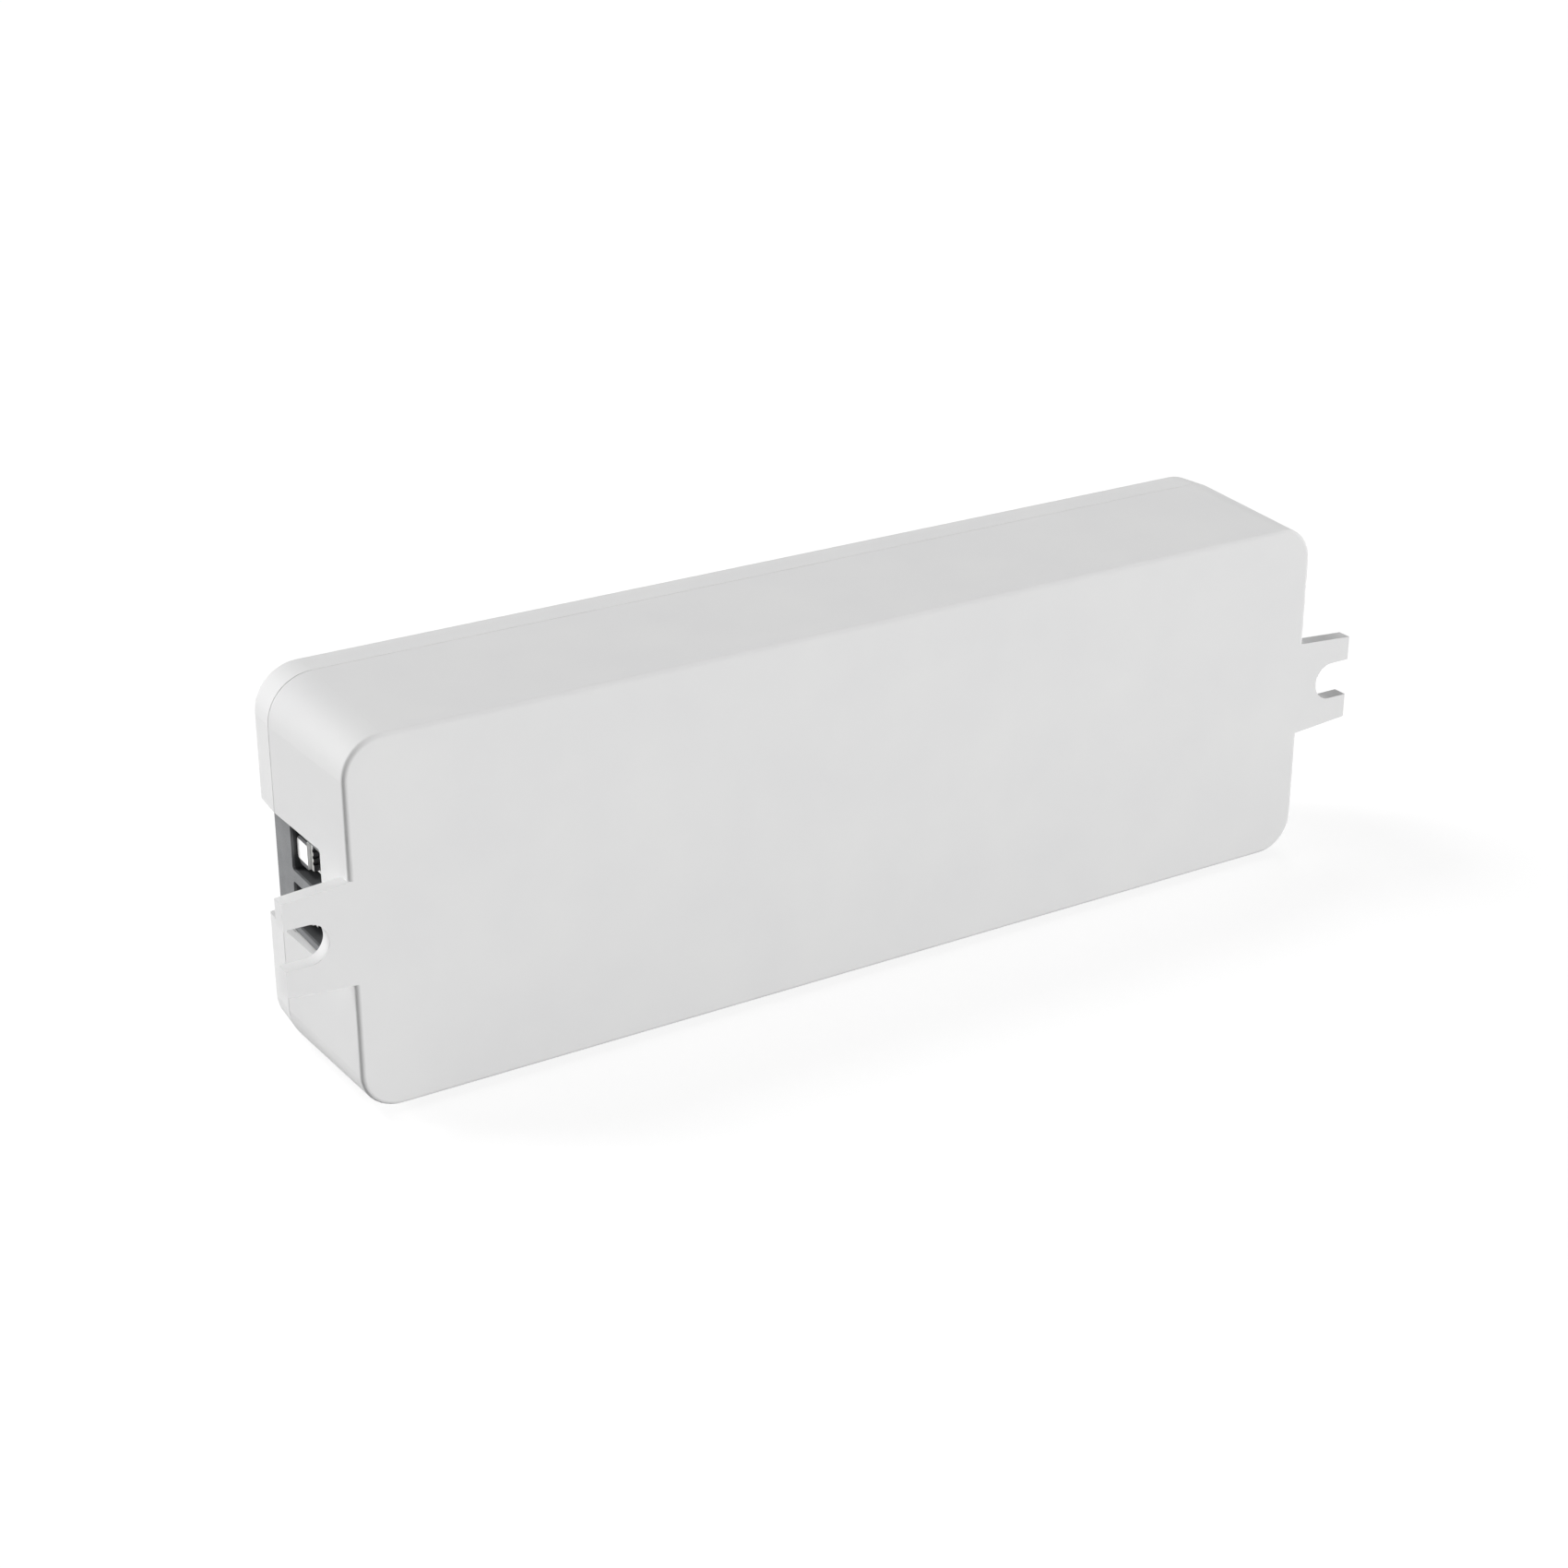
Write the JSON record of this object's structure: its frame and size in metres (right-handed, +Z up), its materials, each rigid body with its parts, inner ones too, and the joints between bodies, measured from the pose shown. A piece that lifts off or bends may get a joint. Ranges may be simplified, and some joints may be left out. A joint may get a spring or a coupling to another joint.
{
  "type": "led controller",
  "caption": "Sealed white LED controller: flat drafted plastic box with a slotted mounting ear at each short end and a notch there that shows its screw terminals.",
  "frame": {"origin": "centre of the mounting plate's flat outer face", "axes": "+X along the length towards the output end, -Y out of the mounting face towards the wall it is screwed to, +Z up as the controller stands on its long side"},
  "size_m": [0.1878, 0.0297, 0.059],
  "materials": {
    "housing_plastic": "satin white moulded ABS",
    "board_laminate": "solder mask over glass laminate",
    "screw_steel": "zinc plated",
    "terminal_plastic": "mid grey moulded nylon",
    "cage_metal": "bright nickel plated",
    "contact_metal": "tinned",
    "fuse_ceramic": "white ceramic with tinned ends",
    "package_epoxy": "moulded epoxy, matt",
    "capacitor_can": "dark sleeve on a drawn can",
    "inductor_ferrite": "sintered ferrite, dull",
    "can_metal": "nickel plated",
    "radio_laminate": "solder mask over glass laminate",
    "lamp_plastic": "clear filled white package",
    "resistor_film": "dark glass coat with tinned ends",
    "capacitor_ceramic": "sintered ceramic with tinned ends"
  },
  "bodies": {
    "root": {"base_tray": "housing_plastic", "lid": "housing_plastic", "circuit_board": "board_laminate", "board_screws": "screw_steel", "input_terminal_housing": "terminal_plastic", "input_terminal_cages": "cage_metal", "input_terminal_bars": "contact_metal", "input_terminal_screws": "screw_steel", "output_terminal_housing": "terminal_plastic", "output_terminal_cages": "cage_metal", "output_terminal_bars": "contact_metal", "output_terminal_screws": "screw_steel", "input_fuse": "fuse_ceramic", "polarity_transistor": "package_epoxy", "input_capacitors": "capacitor_can", "buck_inductor": "inductor_ferrite", "regulator_chip": "package_epoxy", "catch_diode": "package_epoxy", "processor_chip": "package_epoxy", "crystal_can": "can_metal", "radio_board": "radio_laminate", "radio_shield": "can_metal", "status_lamp": "lamp_plastic", "channel_transistors": "package_epoxy", "shunt_resistors": "resistor_film", "gate_resistors": "resistor_film", "ceramic_capacitors": "capacitor_ceramic"}
  },
  "joints": []
}
